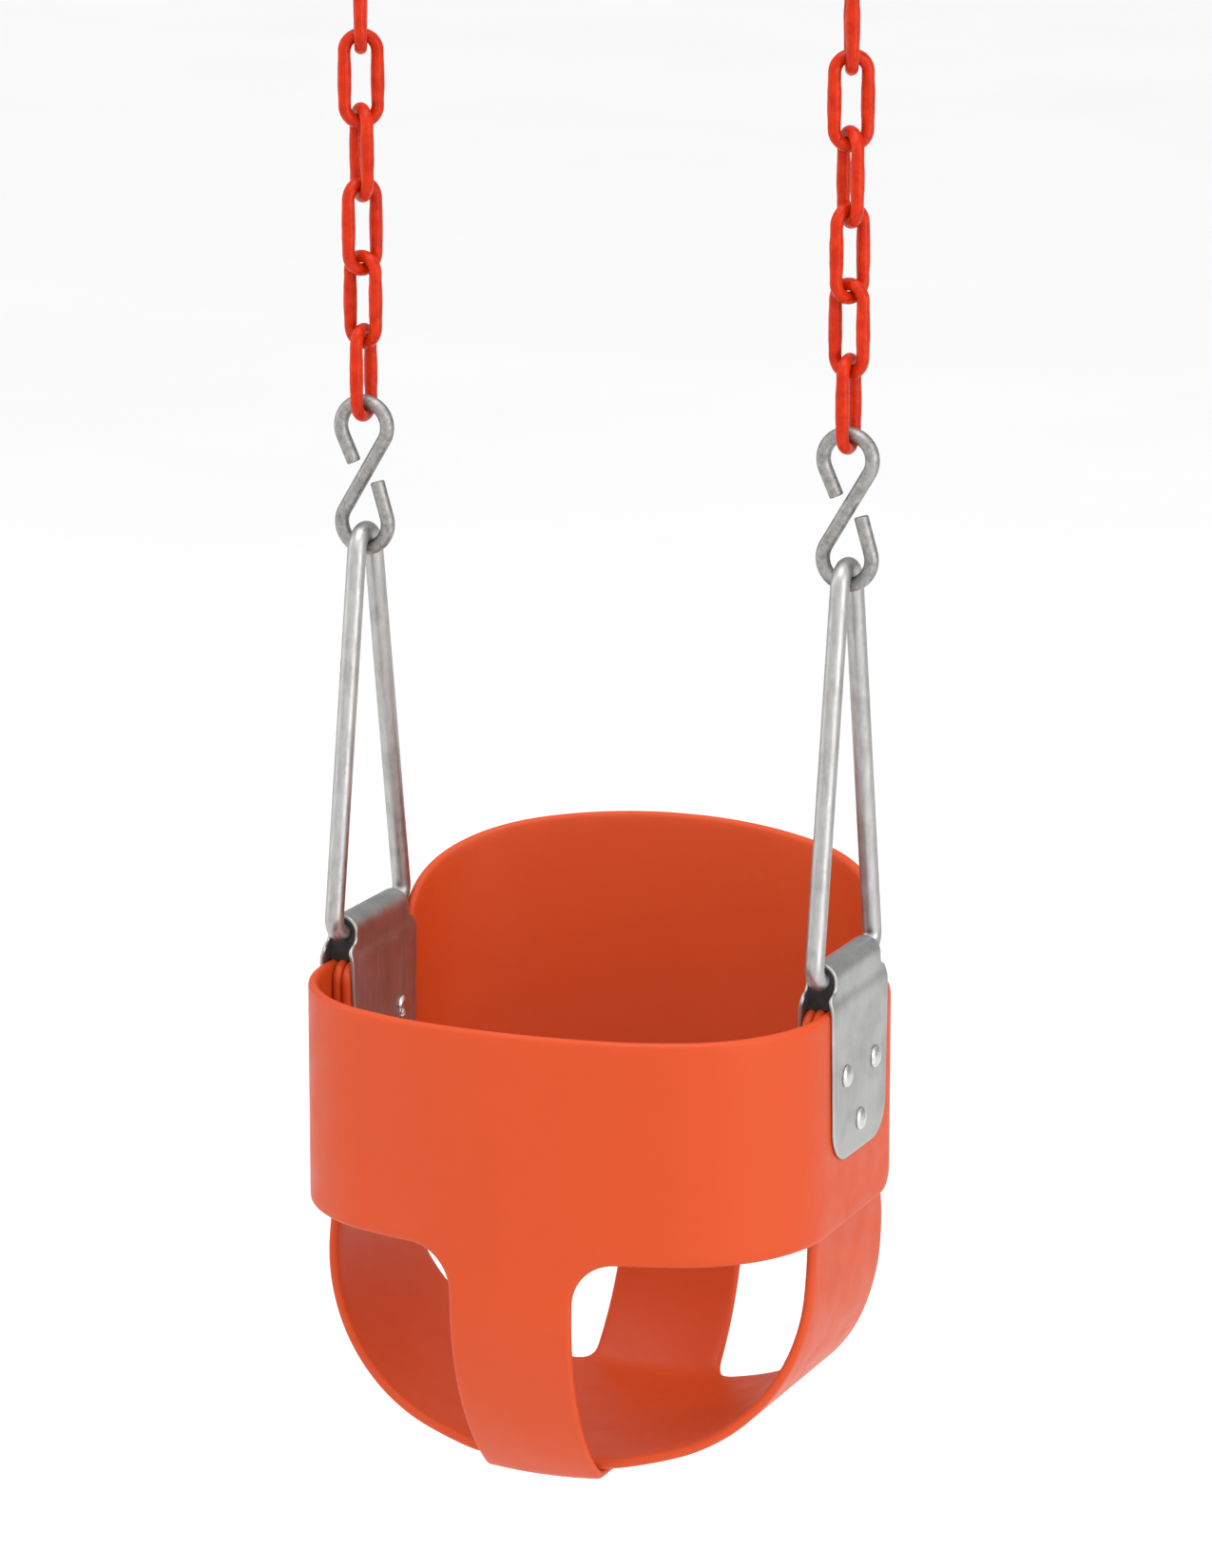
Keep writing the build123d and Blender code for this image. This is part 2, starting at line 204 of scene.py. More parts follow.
def sheet_mesh(name, outline, place, thickness, spacing):
    """Bend a flat outline into a sheet with rounded edges: place(u, v) gives point and normal."""
    half = thickness / 2
    depths = [0.0, 0.04, 0.14, 0.32, 0.58, 1.0]        # rings of the half-round rim
    vertices, heights, edges = [], [], []
    for depth in depths:
        ring = inset(outline, depth * half)
        first = len(vertices)
        vertices += ring
        heights += [half * math.sqrt(max(0.0, 1 - (1 - depth) ** 2))] * len(ring)
        edges += [(first + k, first + (k + 1) % len(ring)) for k in range(len(ring))]
    core = np.array([tuple(p) for p in inset(outline, half + 0.55 * spacing)])
    low, high = core.min(0), core.max(0)
    rows = np.arange(low[1], high[1], spacing * 0.866)
    grid = [(x + (0.5 * spacing if j % 2 else 0.0), y)
            for j, y in enumerate(rows) for x in np.arange(low[0], high[0], spacing)]
    grid = np.array(grid)
    grid = grid[inside_mask(grid, core)]
    vertices += [Vector(p) for p in grid]
    heights += [half] * len(grid)
    flat, _, triangles, originals, _, _ = delaunay_2d_cdt(vertices, edges, [], 0, 1e-7)
    tall = [heights[source[0]] if source else half for source in originals]
    centres = np.array([tuple((flat[a] + flat[b] + flat[c]) / 3) for a, b, c in triangles])
    keep = inside_mask(centres, np.array([tuple(p) for p in outline]))
    upper, lower, top_at, low_at = [], [], {}, {}
    points = []
    for i, spot in enumerate(flat):
        point, normal = place(spot.x, spot.y)
        top_at[i] = len(points)
        points.append(point + normal * tall[i])
        if tall[i] < 1e-9:
            low_at[i] = top_at[i]
        else:
            low_at[i] = len(points)
            points.append(point - normal * tall[i])
    for triangle, kept in zip(triangles, keep):
        # a triangle with all three corners on the rim has no thickness
        if kept and any(tall[k] > 1e-9 for k in triangle):
            upper.append([top_at[k] for k in triangle])
            lower.append([low_at[k] for k in reversed(triangle)])
    obj = new_object(name, points, upper + lower)
    tidy_mesh(obj)
    return obj


def tidy_mesh(obj):
    """Drop loose vertices and make the faces agree on which side is out."""
    work = bmesh.new()
    work.from_mesh(obj.data)
    loose = [v for v in work.verts if not v.link_faces]
    bmesh.ops.delete(work, geom=loose, context="VERTS")
    bmesh.ops.recalc_face_normals(work, faces=work.faces)
    work.to_mesh(obj.data)
    work.free()


def rod_mesh(name, centres, radius_at, closed, sides=28, bevel=0.0006):
    """Tube along a list of points; radius_at(fraction, angle) gives its radius."""
    count = len(centres)
    tangents = []
    for i in range(count):
        ahead = centres[(i + 1) % count] if closed or i + 1 < count else centres[i]
        behind = centres[i - 1] if closed or i else centres[i]
        tangents.append((ahead - behind).normalized())
    # the paths are planar, so the plane's normal is a steady frame
    plane = Vector((0, 0, 0))
    for i in range(count - 1):
        plane += (centres[i] - centres[0]).cross(centres[i + 1] - centres[0])
    plane.normalize()
    points, faces = [], []
    rings = []
    for i, centre in enumerate(centres):
        across = tangents[i].cross(plane).normalized()
        fraction = i / count
        rings.append((centre, across, fraction, 0.0))
    if not closed:
        start, end = rings[0], rings[-1]
        shift = tangents[0] * bevel
        rings[0] = (start[0] + shift, start[1], 0.0, 0.0)
        rings.insert(0, (start[0], start[1], 0.0, bevel))
        shift = tangents[-1] * bevel
        rings[-1] = (end[0] - shift, end[1], 1.0, 0.0)
        rings.append((end[0], end[1], 1.0, bevel))
    for centre, across, fraction, less in rings:
        for k in range(sides):
            angle = 2 * math.pi * k / sides
            radius = radius_at(fraction, angle) - less
            points.append(centre + (across * math.cos(angle) + plane * math.sin(angle)) * radius)
    total = len(rings)
    for i in range(total if closed else total - 1):
        for k in range(sides):
            a, b = i * sides + k, i * sides + (k + 1) % sides
            c, d = ((i + 1) % total) * sides + (k + 1) % sides, ((i + 1) % total) * sides + k
            faces.append((a, b, c, d))
    if not closed:
        faces.append(tuple(range(sides))[::-1])
        faces.append(tuple((total - 1) * sides + k for k in range(sides)))
    obj = new_object(name, points, faces)
    tidy_mesh(obj)
    return obj


# ---- materials ---------------------------------------------------------------------------------
WHITE = (1.0, 1.0, 1.0)


class Shader:
    """A principled material and short ways to wire procedural detail into it."""

    def __init__(self, name, **values):
        self.material = bpy.data.materials.new(name)
        self.material.use_nodes = True
        self.tree = self.material.node_tree
        self.surface = self.tree.nodes["Principled BSDF"]
        for socket, value in values.items():
            self.surface.inputs[socket.replace("_", " ")].default_value = value
        self.coords = self.tree.nodes.new("ShaderNodeTexCoord")

    def node(self, kind, **settings):
        made = self.tree.nodes.new(kind)
        for key, value in settings.items():
            setattr(made, key, value)
        return made

    def link(self, source, target):
        self.tree.links.new(source, target)

    def stretched(self, scale):
        """Object coordinates scaled by (x, y, z)."""
        mapping = self.node("ShaderNodeMapping")
        mapping.inputs["Scale"].default_value = scale
        self.link(self.coords.outputs["Object"], mapping.inputs["Vector"])
        return mapping.outputs["Vector"]

    def noise(self, scale, detail=4.0, roughness=0.55, stretch=(1, 1, 1)):
        made = self.node("ShaderNodeTexNoise")
        made.inputs["Scale"].default_value = scale
        made.inputs["Detail"].default_value = detail
        made.inputs["Roughness"].default_value = roughness
        self.link(self.stretched(stretch), made.inputs["Vector"])
        return made.outputs["Fac"]

    def spangle(self, scale):
        made = self.node("ShaderNodeTexVoronoi")
        made.inputs["Scale"].default_value = scale
        self.link(self.stretched((1, 1, 1)), made.inputs["Vector"])
        split = self.node("ShaderNodeSeparateColor")
        self.link(made.outputs["Color"], split.inputs["Color"])
        return split.outputs["Red"]

    def ramp(self, source, stops):
        made = self.node("ShaderNodeValToRGB")
        elements = made.color_ramp.elements
        while len(elements) < len(stops):
            elements.new(0.5)
        for element, (place, colour) in zip(elements, stops):
            element.position = place
            element.color = (*colour, 1.0)
        self.link(source, made.inputs["Fac"])
        return made.outputs["Color"]

    def spread(self, source, low, high, from_low=0.3, from_high=0.7):
        made = self.node("ShaderNodeMapRange")
        made.inputs["From Min"].default_value = from_low
        made.inputs["From Max"].default_value = from_high
        made.inputs["To Min"].default_value = low
        made.inputs["To Max"].default_value = high
        self.link(source, made.inputs["Value"])
        return made.outputs["Result"]

    def multiply(self, first, second, amount):
        made = self.node("ShaderNodeMix", data_type="RGBA", blend_type="MULTIPLY")
        made.inputs["Factor"].default_value = amount
        self.link(first, made.inputs["A"])
        self.link(second, made.inputs["B"])
        return made.outputs["Result"]

    def paint(self, colour, roughness):
        self.link(colour, self.surface.inputs["Base Color"])
        self.link(roughness, self.surface.inputs["Roughness"])

    def bump(self, *layers):
        """Stack (height source, distance in metres) bumps on the surface."""
        normal = None
        for source, distance in layers:
            made = self.node("ShaderNodeBump")
            made.inputs["Strength"].default_value = 1.0
            made.inputs["Distance"].default_value = distance
            self.link(source, made.inputs["Height"])
            if normal is not None:
                self.link(normal, made.inputs["Normal"])
            normal = made.outputs["Normal"]
        self.link(normal, self.surface.inputs["Normal"])
        return self.material


def polymer():
    """Smooth moulded orange sheet with faint flow marks and a fine satin skin."""
    shade = Shader("moulded_polymer", IOR=1.48, Specular_IOR_Level=0.25)
    flow = shade.noise(9.0, 3.0, 0.5, (1, 1, 0.35))
    colour = shade.ramp(flow, [(0.30, (0.475, 0.051, 0.008)), (0.70, (0.515, 0.057, 0.010))])
    shade.paint(colour, shade.spread(shade.noise(60.0, 5.0), 0.40, 0.52))
    return shade.bump((shade.noise(14.0, 2.0), 0.0006), (shade.noise(1500.0, 2.0), 0.000012))


def vinyl():
    """Glossy dipped coat with slow lumps and small runs down the links."""
    shade = Shader("dipped_vinyl", IOR=1.5, Specular_IOR_Level=0.16)
    tone = shade.ramp(shade.noise(160.0, 3.0), [(0.25, (0.370, 0.010, 0.0)),
                                                (0.75, (0.530, 0.025, 0.0))])
    shade.paint(tone, shade.spread(shade.noise(260.0, 4.0), 0.18, 0.34))
    return shade.bump((shade.noise(230.0, 3.0, 0.5, (1, 1, 0.5)), 0.0009),
                      (shade.noise(900.0, 2.0), 0.00005))


def galvanised():
    """Grey hot-dip zinc: mottled spangle, darker stains and a dull sheen."""
    shade = Shader("galvanised_rod", Metallic=1.0)
    flakes = shade.ramp(shade.spangle(650.0), [(0.0, (0.270, 0.264, 0.256)),
                                               (1.0, (0.345, 0.338, 0.328))])
    stain = shade.ramp(shade.noise(260.0, 6.0, 0.65), [(0.30, (0.55, 0.54, 0.52)), (0.55, WHITE)])
    shade.paint(shade.multiply(flakes, stain, 0.75),
                shade.spread(shade.noise(330.0, 5.0), 0.36, 0.60))
    return shade.bump((shade.noise(700.0, 5.0, 0.6), 0.00010))


def bright_zinc():
    """Drawn rod with a bright zinc finish, faint streaks along it and a few dull patches."""
    shade = Shader("bright_zinc_rod", Metallic=1.0)
    streak = shade.noise(420.0, 5.0, 0.6, (1, 1, 0.10))
    tone = shade.ramp(streak, [(0.30, (0.345, 0.340, 0.332)), (0.70, (0.450, 0.445, 0.436))])
    patch = shade.ramp(shade.noise(55.0, 6.0, 0.7), [(0.30, (0.72, 0.71, 0.70)), (0.50, WHITE)])
    shade.paint(shade.multiply(tone, patch, 0.7), shade.spread(shade.noise(120.0, 5.0), 0.34, 0.50))
    return shade.bump((streak, 0.00004), (shade.noise(160.0, 3.0), 0.00008))


def rolled_plate():
    """Satin steel plate with a fine vertical grain and soft cloudy marks."""
    shade = Shader("rolled_plate", Metallic=1.0)
    grain = shade.noise(900.0, 4.0, 0.6, (1, 1, 0.045))
    tone = shade.ramp(grain, [(0.30, (0.38, 0.38, 0.375)), (0.70, (0.48, 0.48, 0.475))])
    cloud = shade.ramp(shade.noise(48.0, 5.0, 0.6), [(0.32, (0.72, 0.72, 0.71)), (0.60, WHITE)])
    shade.paint(shade.multiply(tone, cloud, 0.8), shade.spread(grain, 0.34, 0.50))
    return shade.bump((grain, 0.00003), (shade.noise(70.0, 3.0), 0.00015))


def rivet_steel():
    """Bright pressed heads with a light orange-peel and dull rims."""
    shade = Shader("rivet_steel", Metallic=1.0)
    tone = shade.ramp(shade.noise(520.0, 4.0), [(0.30, (0.45, 0.45, 0.44)),
                                                (0.70, (0.62, 0.62, 0.61))])
    shade.paint(tone, shade.spread(shade.noise(700.0, 4.0), 0.20, 0.36))
    return shade.bump((shade.noise(900.0, 3.0), 0.00006))


def chain_steel():
    """Plain steel of the hidden link cores, with a dull drawn surface."""
    shade = Shader("chain_steel", Metallic=1.0)
    tone = shade.ramp(shade.noise(380.0, 5.0), [(0.30, (0.30, 0.30, 0.31)),
                                                (0.70, (0.44, 0.44, 0.45))])
    shade.paint(tone, shade.spread(shade.noise(500.0, 4.0), 0.40, 0.60))
    return shade.bump((shade.noise(900.0, 4.0), 0.00005))


def shade_painted_liner():
    """Matt black liner round the bar, with a dusty grain: its near-black is painted shade for the
    dark hollow inside the bracket fold.
    """
    shade = Shader("black_liner", IOR=1.45)
    # near-black tone: painted shade for the hollow inside the bracket fold
    tone = shade.ramp(shade.noise(260.0, 6.0), [(0.30, (0.010, 0.010, 0.010)),
                                                (0.75, (0.030, 0.029, 0.028))])
    shade.paint(tone, shade.spread(shade.noise(380.0, 5.0), 0.55, 0.80))
    return shade.bump((shade.noise(800.0, 4.0), 0.00008))


# ---- moulded sheets ------------------------------------------------------------------------------
def d_section(half_width, straight, corner, depth):
    """Half section of a sheet's middle, from its nose: nose arc, corner arc, straight side."""
    reach, across = depth - straight, half_width - corner
    nose = (reach ** 2 + across ** 2 - corner ** 2) / (2 * (reach - corner))
    meet = math.atan2(across, nose - reach)
    return Bend([(nose - SHEET / 2, meet), (corner - SHEET / 2, math.pi / 2 - meet), (None, 0.3)])


LOWER_TURN = math.radians(44)      # the strap's first turn out of the seat bottom
BELT_TOP = 0.015                   # below the bar
BELT_BOTTOM = 0.126
BELT_DIP = 0.004                   # how much lower the belt's bottom edge is in the middle
SIDE_STRAIGHT = 0.040              # half of the flat stretch at each bracket
STRAP_HALF = 0.0325
STRAP_FILLET = 0.022
SEAT_DROP = 0.2475                 # bar to the seat's middle surface
SEAT_DEPTH = 0.118                 # bracket centre to the back's outer face
STRAP_DROP = 0.2528                # bar to the front strap's middle surface, under the seat
BELT_DEPTH = 0.121                 # bracket centre to the belt's outer face
GRID = 0.0045                      # spacing of a sheet's mesh


class Meridian:
    """Side profile of a sheet: flat under the seat, two bends, then straight up to its top edge."""

    def __init__(self, bottom, depth, lower_bend, upper_bend):
        upper_turn = math.pi / 2 - LOWER_TURN
        reach = lower_bend * math.sin(LOWER_TURN) + upper_bend * (1 - math.sin(LOWER_TURN))
        climb = lower_bend * (1 - math.cos(LOWER_TURN)) + upper_bend * math.cos(LOWER_TURN)
        flat = depth - SHEET / 2 - reach
        self.path = Bend([(None, flat), (lower_bend, LOWER_TURN), (upper_bend, upper_turn),
                          (None, 0.4)], start=(0.0, BAR_Z - bottom))
        self.flat = flat
        self.upright = flat + lower_bend * LOWER_TURN + upper_bend * upper_turn
        self.upright_z = BAR_Z - bottom + climb

    def along(self, height):
        """Distance along the profile to a height given relative to the bar."""
        return self.upright + BAR_Z + height - self.upright_z


def bent_sheet(meridian, low_section, high_section, facing, blend_from):
    """place(u, v) for a sheet whose section changes from one D to another up its side profile."""
    def place(u, v):
        out, height, heading = meridian.path.at(v)
        t = smooth(v, blend_from, meridian.upright)
        hand = 1.0 if u >= 0 else -1.0
        low = low_section.at(abs(u))
        high = high_section.at(abs(u))
        across, rise, lean = (mix(a, b, t) for a, b in zip(low, high))
        point = Vector((hand * across, facing * (out - math.sin(heading) * rise),
                        height + math.cos(heading) * rise))
        normal = Vector((-hand * math.sin(lean), -facing * math.sin(heading) * math.cos(lean),
                         math.cos(heading) * math.cos(lean)))
        return point, normal
    return place


def arc_reaching(section, rise):
    """Distance along a section at which it has risen that far, to half a millimetre."""
    return next(k / 2000 for k in range(2000) if section.at(k / 2000)[1] > rise)


def mirrored(half):
    """Closed corner list from its right half, which runs from bottom centre to top centre."""
    return half + [(-x, y, r) for x, y, r in reversed(half) if x > 0]


def seat_shell(material):
    """Arms, seat bottom, rear strap and high back, flowing into one another."""
    sling = d_section(0.130, 0.154, 0.090, SEAT_DROP + SHEET / 2)
    plan = d_section(0.125, SIDE_STRAIGHT, 0.070, SEAT_DEPTH)
    side = Meridian(SEAT_DROP, SEAT_DEPTH, 0.020, 0.127)
    arm_end = arc_reaching(sling, SEAT_DROP - BELT_TOP)
    wing_end = arc_reaching(plan, SEAT_DEPTH - SHEET / 2 + SIDE_STRAIGHT)
    low = side.along(-BELT_BOTTOM - BELT_DIP)
    low_side = side.along(-BELT_BOTTOM)
    wing_top = side.along(-BELT_TOP)
    crest_half, crest, crest_points = 0.166, 0.055, 26
    half = [(0.0, -0.078, 0), (0.040, -0.076, 0.05), (0.105, -0.062, 0.10), (0.190, -0.044, 0.10),
            (0.240, -0.040, 0.05), (arm_end, -0.040, 0.010), (arm_end, 0.040, 0.010),
            (0.238, 0.040, 0.05), (0.195, 0.055, 0.05), (0.150, 0.049, 0.08),
            (0.105, 0.058, 0.05),
            (STRAP_HALF + 0.002, 0.066, 0.018), (STRAP_HALF, low, STRAP_FILLET),
            (wing_end * 0.5, mix(low, low_side, 0.4), 0.03), (wing_end, low_side, 0.010),
            (wing_end, wing_top, 0.010), (0.1665, wing_top, 0.003)]
    for k in range(crest_points):
        u = (crest_half - 0.0005) * math.cos(math.pi / 2 * k / crest_points)
        half.append((u, wing_top + crest * (1 - (u / crest_half) ** 2) ** 0.46, 0))
    place = bent_sheet(side, sling, plan, 1, 0.060)
    shell = sheet_mesh("seat_shell", rounded(mirrored(half)), place, SHEET, GRID)
    return finish_piece(shell, material, "bucket", "seat_polymer", "seat_sling", "back_panel")


def front_belt(material):
    """Outer belt with the crotch strap that folds in under the seat."""
    plan = d_section(0.135, SIDE_STRAIGHT, 0.072, BELT_DEPTH)
    side = Meridian(STRAP_DROP, BELT_DEPTH, 0.012, 0.129)
    rear_end = arc_reaching(plan, BELT_DEPTH - SHEET / 2 + 0.050)
    low = side.along(-BELT_BOTTOM - BELT_DIP)
    low_side = side.along(-BELT_BOTTOM)
    top = side.along(-BELT_TOP - 0.003)
    top_side = side.along(-BELT_TOP)
    tail = 0.0065
    half = [(STRAP_HALF - 0.002, tail, 0.006), (STRAP_HALF - 0.002, side.flat + 0.012, 0.02),
            (STRAP_HALF, low, STRAP_FILLET), (0.15, mix(low, low_side, 0.6), 0.05),
            (rear_end, low_side, 0.012), (rear_end, top_side, 0.012), (0.17, top_side, 0.05),
            (0.06, top, 0.05)]
    place = bent_sheet(side, plan, plan, -1, 0.0)
    belt = sheet_mesh("front_belt_sheet", rounded(mirrored(half)), place, SHEET, GRID)
    return finish_piece(belt, material, "bucket", "seat_polymer", "front_belt")


# ---- rods ----------------------------------------------------------------------------------------
def hook_points(x, z):
    """Centre line of an S-hook whose middle is at height z."""
    bend, drop = 0.0125, 0.0485
    lean = math.asin(bend / (drop / 2))
    loops = []
    for sign, tail_lean, tail in ((1, 24, 0.0145), (-1, 16, 0.0185)):
        tail_lean = math.radians(tail_lean)
        start = Vector((bend * math.cos(lean), drop / 2 - bend * math.sin(lean)))
        path = Bend([(bend, math.pi + lean + tail_lean), (None, tail)], start=tuple(start),
                    heading=math.pi / 2 - lean)
        steps = int(path.length / 0.0012)
        loops.append([Vector(path.at(path.length * k / steps)[:2]) * sign
                      for k in range(steps + 1)])
    upper, lower = loops
    across = [upper[0].lerp(lower[0], k / 20) for k in range(1, 20)]
    flat = upper[::-1] + across + lower
    return [Vector((x + p.x, 0.0, z + p.y)) for p in flat]


def s_hook(node, body, material):
    low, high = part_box(node)
    x, z = (low[0] + high[0]) / 2, (low[2] + high[2]) / 2
    rod = high[1] - low[1]
    hook = rod_mesh(f"{node}_rod", hook_points(x, z), lambda f, a: rod / 2, False, 28, 0.0005)
    return finish_piece(hook, material, body, "galvanised_rod", node)


def chain_link(node, body, turn, seed, material):
    """One dipped link: a stadium of rod, thicker along its legs, with slow lumps in the coat."""
    low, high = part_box(node)
    x, top, foot = (low[0] + high[0]) / 2, high[2] - LINK_ROD / 2, low[2] + LINK_ROD / 2
    bend = 0.0082
    leg = top - foot - 2 * bend
    path = Bend([(None, leg), (bend, math.pi), (None, leg), (bend, math.pi)],
                start=(bend, foot + bend), heading=math.pi / 2)
    steps = 120
    angle = math.radians(turn)
    centres = []
    for k in range(steps):
        across, height, _ = path.at(path.length * k / steps)
        centres.append(Vector((x + across * math.cos(angle), across * math.sin(angle), height)))

    def radius_at(fraction, around):
        along = fraction * path.length
        leg_place = min(abs(along - leg / 2), abs(along - 1.5 * leg - bend * math.pi))
        swell = 0.00028 * smooth(leg / 2 - leg_place, 0.002, 0.010)
        turned = 2 * math.pi * fraction
        spot = Vector((math.cos(turned) * 3 + seed, math.sin(turned) * 3, math.cos(around)))
        return LINK_ROD / 2 + swell + 0.00013 * noise.noise(spot) - 0.00005

    link = rod_mesh(f"{node}_dip", centres, radius_at, True, 24)
    return finish_piece(link, material, body, "chain_coat", node)


def shackle(node, material):
    """Closed triangle of rod: two tight lower corners and a rounded apex."""
    low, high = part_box(node)
    x = (low[0] + high[0]) / 2
    half, height, apex_bend, corner_bend = 0.042, APEX_Z - BAR_Z, 0.010, 0.008
    sharp = height                 # height of the apex before it is rounded, by iteration
    for _ in range(50):
        sharp = height + apex_bend * (1 / math.sin(math.atan2(half, sharp)) - 1)
    outline = rounded([(-half, 0.0, corner_bend), (half, 0.0, corner_bend),
                       (0.0, sharp, apex_bend)], 0.0015)
    centres = [Vector((x, p.x, BAR_Z + p.y)) for p in outline]
    rod = rod_mesh(f"{node}_rod", centres, lambda f, a: SHACKLE_ROD / 2, True, 32)
    return finish_piece(rod, material, node, "bright_rod", node)


# ---- brackets and rivets -------------------------------------------------------------------------
def bracket(name, side, material):
    """Folded plate with rolled edges: tongue, joggle, neck over the bar, down the other face."""
    stack, neck = 0.0085, 0.00725
    tongue, neck_half, plate_half, tip = 0.092, 0.0315, 0.039, 0.030
    straight, bend = 0.0075, 0.012
    turn = math.acos(1 - (stack - neck) / (2 * bend))
    joggle = 2 * bend * math.sin(turn)
    lower = tongue - straight - joggle
    rise = [(None, lower), (bend, turn), (-bend, turn), (None, straight)]
    fall = [(None, straight), (-bend, turn), (bend, turn), (None, lower)]
    path = Bend(rise + [(neck, math.pi)] + fall, start=(stack, -tongue), heading=math.pi / 2)
    total = path.length
    shoulder = lower + 2 * bend * turn
    half = [(0.0, 0.0, 0), (plate_half - 0.003, 0.0, tip), (plate_half, shoulder, 0.005),
            (neck_half, shoulder + 0.003, 0.003), (neck_half, total - shoulder - 0.003, 0.003),
            (plate_half, total - shoulder, 0.005), (plate_half - 0.003, total, tip),
            (0.0, total, 0)]
    outline = rounded(mirrored(half), 0.0015)

    def place(u, v):
        across, height, heading = path.at(v)
        point = Vector((side * (BAR_X + across), u, BAR_Z + height))
        return point, Vector((side * math.sin(heading), 0.0, -math.cos(heading)))

    plate = sheet_mesh(f"{name}_bracket_plate", outline, place, PLATE, 0.0022)
    return finish_piece(plate, material, "bucket", "bracket_plate", f"{name}_bracket")


def rivets(name, side, material):
    """Three rivets turned about their own axes, with a domed head on each face."""
    face = 0.0095                  # bar centre to the plate's outer face
    rim = RIVET_HEAD / 2
    profile = [(face + RIVET_DOME * math.cos(a), rim * math.sin(a))
               for a in (math.pi / 2 * k / 9 for k in range(9))]
    profile += [(face + 0.00035, rim * 0.995), (face + 0.0001, rim * 0.97),
                (face - 0.0001, rim * 0.9), (face - 0.0001, 0.0026)]
    full = profile + [(-x, r) for x, r in reversed(profile)]
    points, faces, around = [], [], 32
    for along, below in ((-0.020, 0.050), (0.020, 0.050), (0.0, 0.0765)):
        first = len(points)
        rings = full[1:-1]
        points.append(Vector((side * (BAR_X + full[0][0]), along, BAR_Z - below)))
        for offset, radius in rings:
            for k in range(around):
                angle = 2 * math.pi * k / around
                points.append(Vector((side * (BAR_X + offset), along + radius * math.cos(angle),
                                      BAR_Z - below + radius * math.sin(angle))))
        points.append(Vector((side * (BAR_X + full[-1][0]), along, BAR_Z - below)))
        last = len(points) - 1
        for i in range(len(rings) - 1):
            for k in range(around):
                a = first + 1 + i * around
                after = (k + 1) % around
                faces.append((a + k, a + after, a + around + after, a + around + k))
        for k in range(around):
            faces.append((first, first + 1 + (k + 1) % around, first + 1 + k))
            faces.append((last, last - around + k, last - around + (k + 1) % around))
    obj = new_object(f"{name}_rivet_set", points, faces)
    tidy_mesh(obj)
    return finish_piece(obj, material, "bucket", "rivet_steel", f"{name}_rivets")


# ---- build the swing -----------------------------------------------------------------------------
MATERIALS = {"polymer": polymer(), "vinyl": vinyl(), "galvanised": galvanised(),
             "zinc": bright_zinc(), "plate": rolled_plate(), "rivet": rivet_steel(),
             "steel": chain_steel(), "liner_shade": shade_painted_liner()}
LINK_TURNS = (114.0, 34.0, 134.0, 59.0, -16.0, -91.0)

seat_shell(MATERIALS["polymer"])
front_belt(MATERIALS["polymer"])
for name, side in SIDES.items():
    s_hook(f"{name}_top_hook", "hangers", MATERIALS["galvanised"])
    s_hook(f"{name}_s_hook", "s_hooks", MATERIALS["galvanised"])
    shackle(f"{name}_shackle", MATERIALS["zinc"])
    bracket(name, side, MATERIALS["plate"])
    rivets(name, side, MATERIALS["rivet"])
    for number, turn in enumerate(LINK_TURNS, start=1):
        chain_link(f"{name}_link_{number}_coat", f"links_{number}", turn, number + 10 * side,
                   MATERIALS["vinyl"])

for obj in bpy.context.scene.objects:
    if obj.type != "MESH":
        continue
    node = obj.name
    if node.endswith("_core"):
        finish = MATERIALS["steel"]
    # liners get the near-black material, painted shade for the hollow inside each bracket fold
    elif node.endswith("_liner"):
        finish = MATERIALS["liner_shade"]
        round_edges = obj.modifiers.new("round_edges", "BEVEL")
        round_edges.width = 0.0006
        round_edges.segments = 2
    else:
        continue
    obj.data.materials.clear()
    obj.data.materials.append(finish)


# ---- studio --------------------------------------------------------------------------------------
def studio_floor():
    """Plain pale floor, wide enough to fill the view behind the swing."""
    level = BAR_Z - 0.62
    half = 16.0
    floor = new_object("studio_floor", [Vector((-half, -half, level)), Vector((half, -half, level)),
                                        Vector((half, half, level)), Vector((-half, half, level))],
                       [(0, 1, 2, 3)])
    shade = Shader("pale_floor", Specular_IOR_Level=0.1)
    tone = shade.ramp(shade.noise(1.5, 3.0), [(0.3, (0.94, 0.94, 0.94)), (0.7, (0.96, 0.96, 0.96))])
    shade.paint(tone, shade.spread(shade.noise(30.0, 3.0), 0.80, 0.95))
    floor.data.materials.append(shade.material)


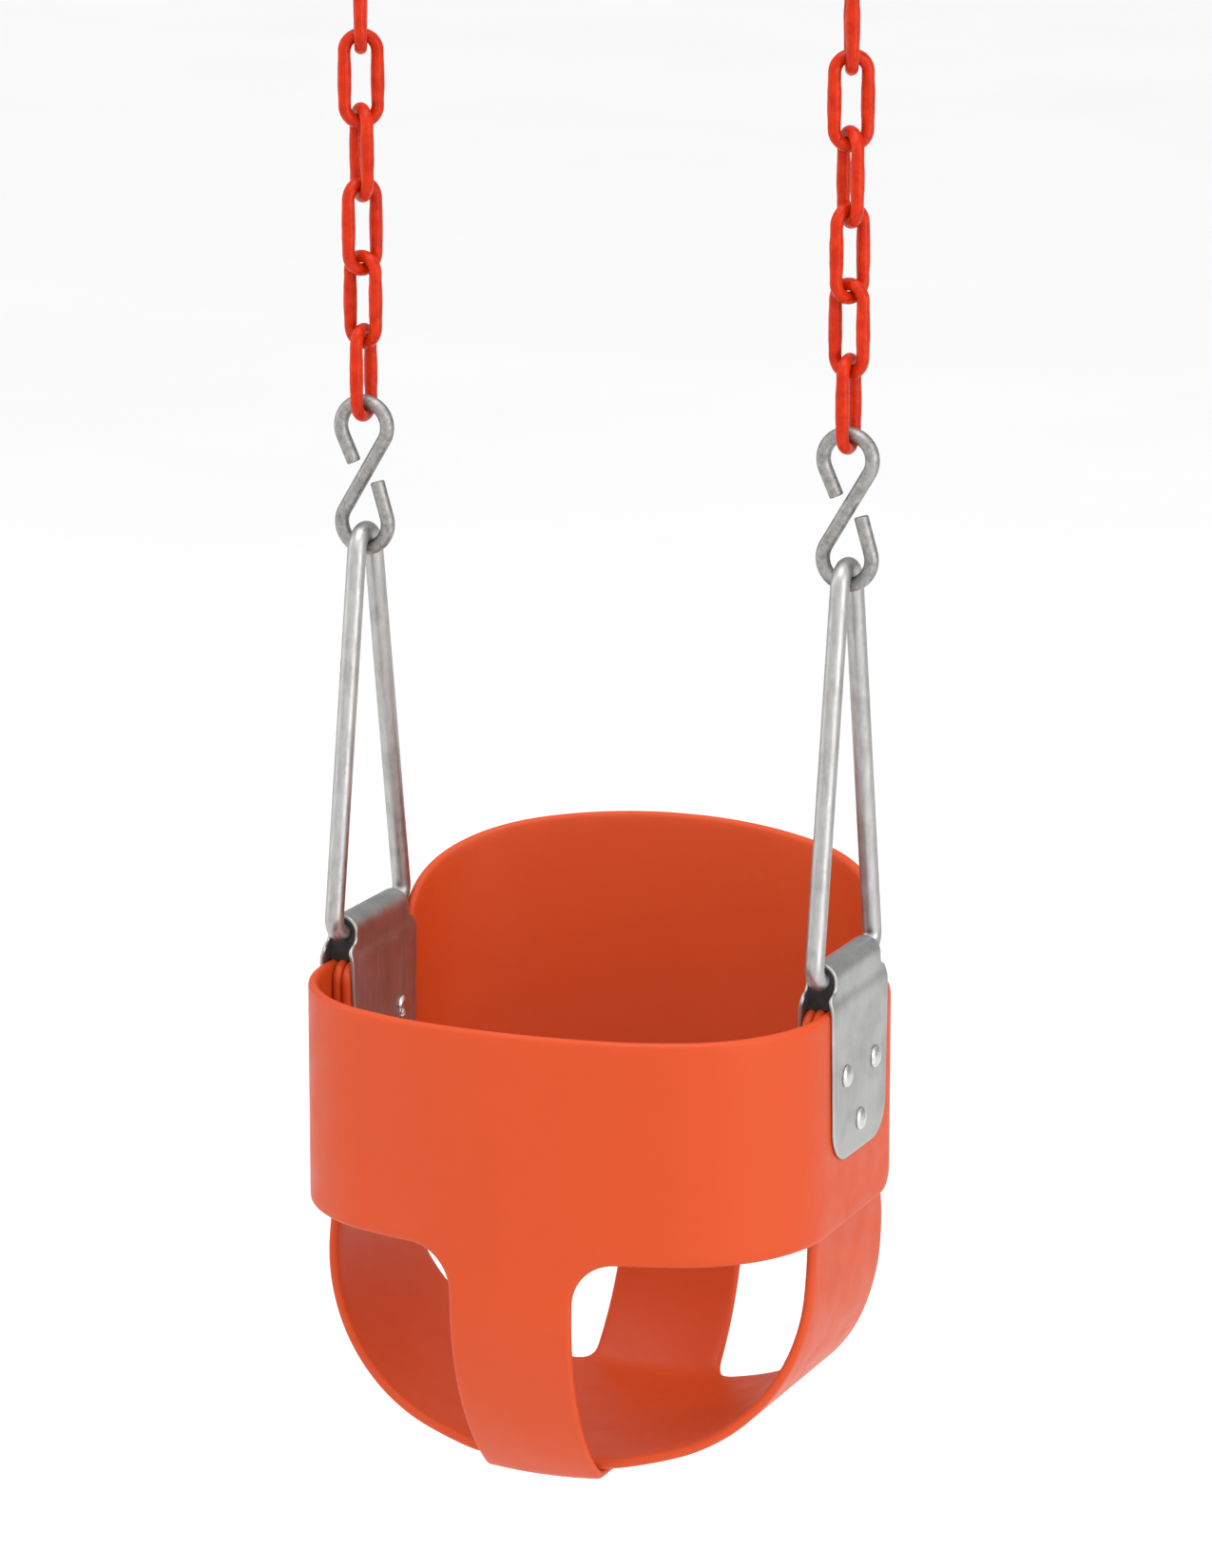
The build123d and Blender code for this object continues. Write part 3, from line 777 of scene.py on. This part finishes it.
def area_light(name, place, aim, size, power, tint=(1.0, 1.0, 1.0)):
    data = bpy.data.lights.new(name, "AREA")
    data.shape = "RECTANGLE"
    data.size, data.size_y = size
    data.energy = power
    data.color = tint
    lamp = bpy.data.objects.new(name, data)
    bpy.context.scene.collection.objects.link(lamp)
    lamp.location = place
    lamp.rotation_euler = (Vector(aim) - Vector(place)).to_track_quat("-Z", "Y").to_euler()


def studio():
    studio_floor()
    world = bpy.data.worlds.new("pale_room")
    bpy.context.scene.world = world
    world.use_nodes = True
    tree = world.node_tree
    coords = tree.nodes.new("ShaderNodeTexCoord")
    facing = tree.nodes.new("ShaderNodeVectorMath")
    facing.operation = "DOT_PRODUCT"
    facing.inputs[1].default_value = Vector((0.15, -0.80, 0.55)).normalized()
    glow = tree.nodes.new("ShaderNodeMapRange")
    for socket, value in (("From Min", -0.4), ("From Max", 0.9), ("To Min", 0.5), ("To Max", 1.35)):
        glow.inputs[socket].default_value = value
    tree.links.new(coords.outputs["Generated"], facing.inputs[0])
    tree.links.new(facing.outputs["Value"], glow.inputs["Value"])
    tree.links.new(glow.outputs["Result"], tree.nodes["Background"].inputs["Strength"])
    tree.nodes["Background"].inputs["Color"].default_value = (1.0, 1.0, 1.0, 1.0)
    seat = (0.0, 0.0, BAR_Z - 0.08)
    area_light("left_bank", (-1.9, -0.5, 0.1), seat, (1.4, 1.8), 9)
    area_light("right_bank", (2.0, -0.7, 0.0), seat, (1.4, 1.8), 20)
    area_light("overhead", (0.1, -0.5, 1.7), seat, (1.8, 1.8), 32)
    bpy.context.scene.view_settings.view_transform = "Standard"
    bpy.context.scene.view_settings.look = "None"


def camera():
    """Long lens from the front right, a little above the seat."""
    azimuth, elevation, distance = math.radians(22.4), math.radians(12.8), 3.0
    back = Vector((math.sin(azimuth) * math.cos(elevation),
                   -math.cos(azimuth) * math.cos(elevation), math.sin(elevation)))
    data = bpy.data.cameras.new("camera")
    data.sensor_width = 36.0
    data.lens = 139.6
    data.clip_end = 60.0
    view = bpy.data.objects.new("camera", data)
    bpy.context.scene.collection.objects.link(view)
    aim = Vector((0.002, 0.0, BAR_Z + 0.080))
    view.location = aim + back * distance
    view.rotation_euler = (-back).to_track_quat("-Z", "Y").to_euler()
    bpy.context.scene.camera = view


studio()
camera()
bpy.context.view_layer.update()
